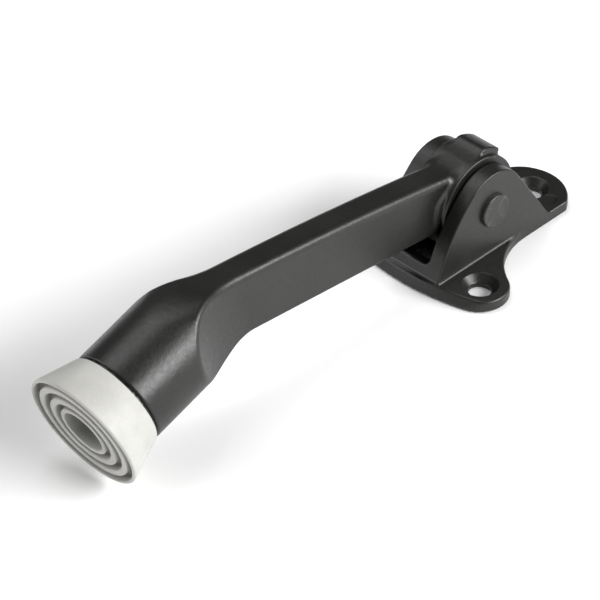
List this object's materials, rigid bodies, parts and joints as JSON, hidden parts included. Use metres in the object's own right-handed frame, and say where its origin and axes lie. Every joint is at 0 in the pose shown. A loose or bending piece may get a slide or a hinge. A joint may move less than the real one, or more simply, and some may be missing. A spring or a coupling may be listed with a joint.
{
  "type": "kick-down door holder",
  "caption": "Door-mounted kick-down holder: three-hole cast bracket, swinging arm with drum hub, and a flared ring-ribbed rubber foot.",
  "frame": {"origin": "on the bracket's back face, the face that lies on the door, straight under the pivot's axis and midway between the cheeks", "axes": "+Z is away from the door face, X is the pivot's axis, and +Y points away from the foot when the arm is down, so -Y is down on a mounted holder"},
  "size_m": [0.0498, 0.1654, 0.0385],
  "materials": {
    "black_casting": "satin",
    "black_steel": "satin",
    "zinc_steel": "satin",
    "spring_steel": "satin",
    "grey_rubber": "matte"
  },
  "bodies": {
    "bracket": {"base_bracket": "black_casting", "pivot_rivet": "black_steel", "thrust_washer_near": "zinc_steel", "thrust_washer_far": "zinc_steel", "leaf_spring": "spring_steel"},
    "arm": {"holder_arm": "black_casting", "rubber_foot": "grey_rubber", "foot_washer": "zinc_steel", "foot_screw": "zinc_steel"}
  },
  "joints": [
    {"name": "arm_swing", "type": "hinge", "parent": "bracket", "child": "arm", "pos_m": [0, 0, 0.0156], "axis": [-1, 0, 0], "range_deg": [0, 168], "deforming": ["leaf_spring"]}
  ]
}
